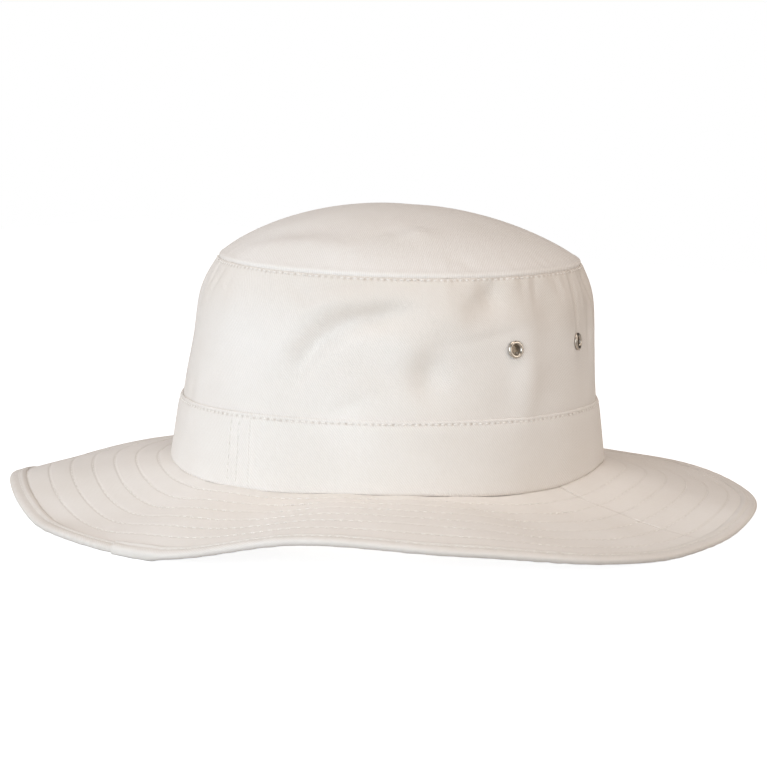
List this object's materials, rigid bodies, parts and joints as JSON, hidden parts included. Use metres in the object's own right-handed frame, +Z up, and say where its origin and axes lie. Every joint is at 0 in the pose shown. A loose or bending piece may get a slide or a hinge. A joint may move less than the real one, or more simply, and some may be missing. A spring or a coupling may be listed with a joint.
{
  "type": "floppy hat",
  "caption": "Wide-brimmed cloth sun hat with a domed oval crown, a band round its foot, vent eyelets in its sides and a wavy stitched brim with a bound edge.",
  "frame": {"origin": "on the surface the hat rests on, under the middle of the brim's outline", "axes": "+Z up; +Y along the head's length, away from the end where the band's joining seam is; +X toward the wearer's left"},
  "size_m": [0.3061, 0.3228, 0.1279],
  "materials": {
    "crown_twill": "matte",
    "brim_twill": "matte",
    "binding_twill": "matte",
    "eyelet_nickel": "satin"
  },
  "bodies": {
    "root": {"crown_top": "crown_twill", "crown_side": "crown_twill", "hat_band": "crown_twill", "brim_front": "brim_twill", "brim_back": "brim_twill", "brim_binding": "binding_twill", "eyelet_left_front": "eyelet_nickel", "eyelet_left_rear": "eyelet_nickel", "eyelet_right_front": "eyelet_nickel", "eyelet_right_rear": "eyelet_nickel"}
  },
  "joints": []
}
